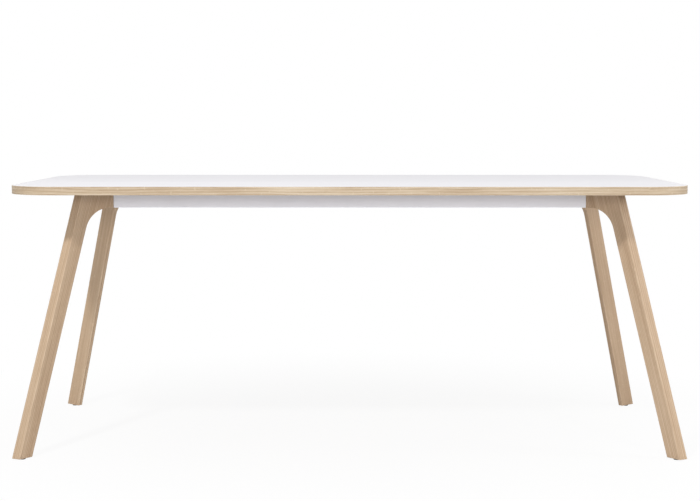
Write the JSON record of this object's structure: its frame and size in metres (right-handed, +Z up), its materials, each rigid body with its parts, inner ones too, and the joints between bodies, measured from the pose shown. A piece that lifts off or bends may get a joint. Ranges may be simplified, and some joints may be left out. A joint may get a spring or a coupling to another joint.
{
  "type": "standing meeting table",
  "caption": "Long standing-height meeting table: white laminate top with rounded corners and an oak edge, on splayed oak legs bolted to a white steel underframe, with levelling glides.",
  "frame": {"origin": "on the floor, under the middle of the top", "axes": "+X along the table's length, +Y from the front to the rear, +Z up"},
  "size_m": [2.6, 1.2, 1.05],
  "materials": {
    "oak": "light oak under a clear matt lacquer",
    "chipboard": "raw pressed wood board",
    "white_laminate": "fine matt laminate",
    "brown_backing": "plain sanded balancing sheet",
    "white_steel": "fine textured powder coat",
    "zinc_steel": "bright zinc plate",
    "black_plastic": "moulded, matt"
  },
  "bodies": {
    "table": {"top_core": "chipboard", "top_laminate": "white_laminate", "backing_laminate": "brown_backing", "edge_band": "oak", "rail_front": "white_steel", "rail_rear": "white_steel", "strap_1": "white_steel", "strap_2": "white_steel", "strap_3": "white_steel", "top_screw_1": "zinc_steel", "top_screw_2": "zinc_steel", "top_screw_3": "zinc_steel", "top_screw_4": "zinc_steel", "top_screw_5": "zinc_steel", "top_screw_6": "zinc_steel", "top_screw_7": "zinc_steel", "top_screw_8": "zinc_steel", "top_screw_9": "zinc_steel", "top_screw_10": "zinc_steel", "top_screw_11": "zinc_steel", "top_screw_12": "zinc_steel", "leg_front_left": "oak", "bracket_front_left": "white_steel", "leg_bolt_front_left_1": "zinc_steel", "leg_insert_front_left_1": "zinc_steel", "leg_bolt_front_left_2": "zinc_steel", "leg_insert_front_left_2": "zinc_steel", "foot_insert_front_left": "zinc_steel", "leg_front_right": "oak", "bracket_front_right": "white_steel", "leg_bolt_front_right_1": "zinc_steel", "leg_insert_front_right_1": "zinc_steel", "leg_bolt_front_right_2": "zinc_steel", "leg_insert_front_right_2": "zinc_steel", "foot_insert_front_right": "zinc_steel", "leg_rear_left": "oak", "bracket_rear_left": "white_steel", "leg_bolt_rear_left_1": "zinc_steel", "leg_insert_rear_left_1": "zinc_steel", "leg_bolt_rear_left_2": "zinc_steel", "leg_insert_rear_left_2": "zinc_steel", "foot_insert_rear_left": "zinc_steel", "leg_rear_right": "oak", "bracket_rear_right": "white_steel", "leg_bolt_rear_right_1": "zinc_steel", "leg_insert_rear_right_1": "zinc_steel", "leg_bolt_rear_right_2": "zinc_steel", "leg_insert_rear_right_2": "zinc_steel", "foot_insert_rear_right": "zinc_steel"},
    "glide_front_left": {"glide_pad_front_left": "black_plastic", "glide_stem_front_left": "zinc_steel"},
    "glide_front_right": {"glide_pad_front_right": "black_plastic", "glide_stem_front_right": "zinc_steel"},
    "glide_rear_left": {"glide_pad_rear_left": "black_plastic", "glide_stem_rear_left": "zinc_steel"},
    "glide_rear_right": {"glide_pad_rear_right": "black_plastic", "glide_stem_rear_right": "zinc_steel"}
  },
  "joints": [
    {"name": "glide_front_left_travel", "type": "slide", "parent": "table", "child": "glide_front_left", "axis": [0, 0, -1], "range_m": [0, 0.012]},
    {"name": "glide_front_right_travel", "type": "slide", "parent": "table", "child": "glide_front_right", "axis": [0, 0, -1], "range_m": [0, 0.012]},
    {"name": "glide_rear_left_travel", "type": "slide", "parent": "table", "child": "glide_rear_left", "axis": [0, 0, -1], "range_m": [0, 0.012]},
    {"name": "glide_rear_right_travel", "type": "slide", "parent": "table", "child": "glide_rear_right", "axis": [0, 0, -1], "range_m": [0, 0.012]}
  ]
}
